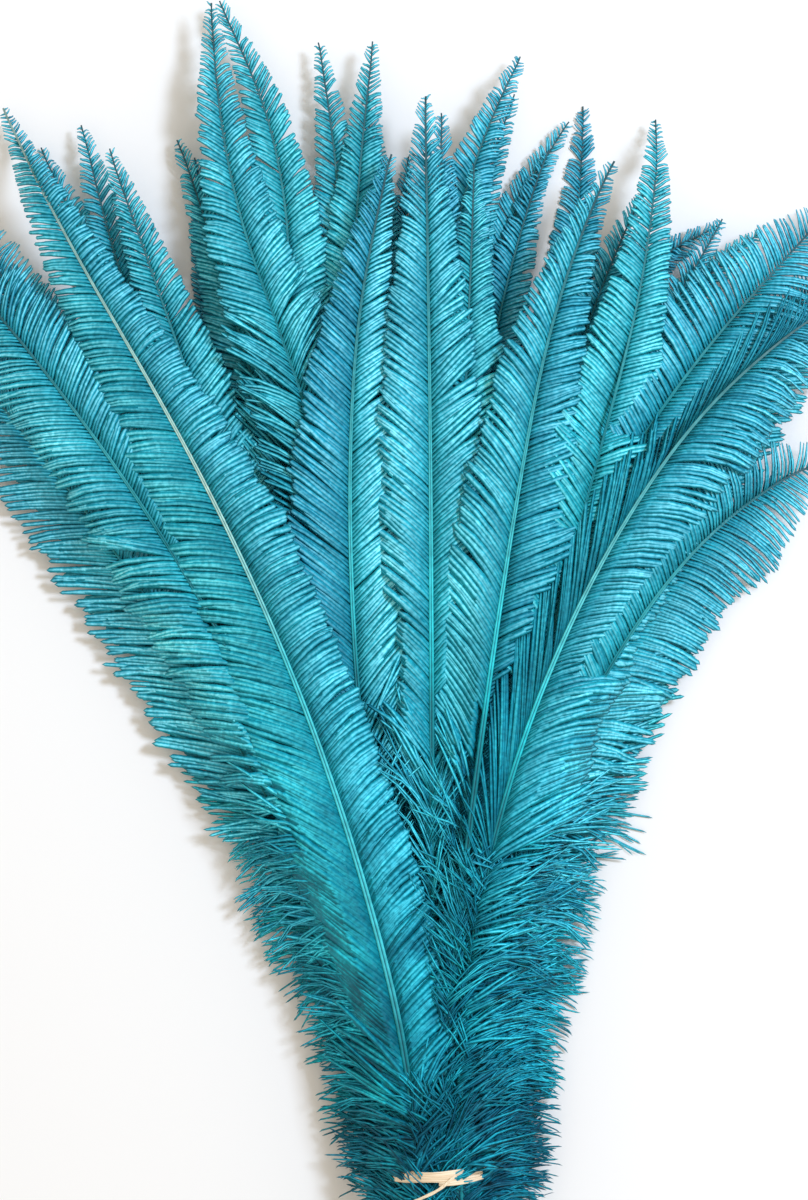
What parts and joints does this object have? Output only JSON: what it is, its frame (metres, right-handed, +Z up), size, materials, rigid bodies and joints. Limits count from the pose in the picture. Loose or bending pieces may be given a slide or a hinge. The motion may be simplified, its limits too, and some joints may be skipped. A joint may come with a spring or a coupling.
{
  "type": "tied bunch of dyed ostrich feathers",
  "caption": "Bunch of long trimmed ostrich feathers dyed turquoise, tied near the quill ends with raffia and fanned out flat on a surface.",
  "frame": {"origin": "on the surface that the bunch lies on, under the middle of its box", "axes": "+Y from the tied quill ends towards the tips, +Z up from the surface, +X to the right when seen from above with the tips away"},
  "size_m": [0.4925, 0.7411, 0.0644],
  "materials": {
    "feather": "soft, slightly silky dyed feather barbs on a smooth satin shaft",
    "raffia": "dry, fibrous flat band"
  },
  "bodies": {
    "root": {"feather_01": "feather", "feather_02": "feather", "feather_03": "feather", "feather_04": "feather", "feather_05": "feather", "feather_06": "feather", "feather_07": "feather", "feather_08": "feather", "feather_09": "feather", "feather_10": "feather", "feather_11": "feather", "feather_12": "feather", "feather_13": "feather", "feather_14": "feather", "feather_15": "feather", "feather_16": "feather", "feather_17": "feather", "feather_18": "feather", "feather_19": "feather", "feather_20": "feather", "feather_21": "feather", "feather_22": "feather", "feather_23": "feather", "feather_24": "feather", "feather_25": "feather", "feather_26": "feather", "feather_27": "feather", "feather_28": "feather", "feather_29": "feather", "feather_30": "feather", "feather_31": "feather", "feather_32": "feather", "feather_33": "feather", "feather_34": "feather", "feather_35": "feather", "feather_36": "feather", "feather_37": "feather", "feather_38": "feather", "feather_39": "feather", "feather_40": "feather", "feather_41": "feather", "feather_42": "feather", "feather_43": "feather", "feather_44": "feather", "feather_45": "feather", "raffia_tie": "raffia"}
  },
  "joints": []
}
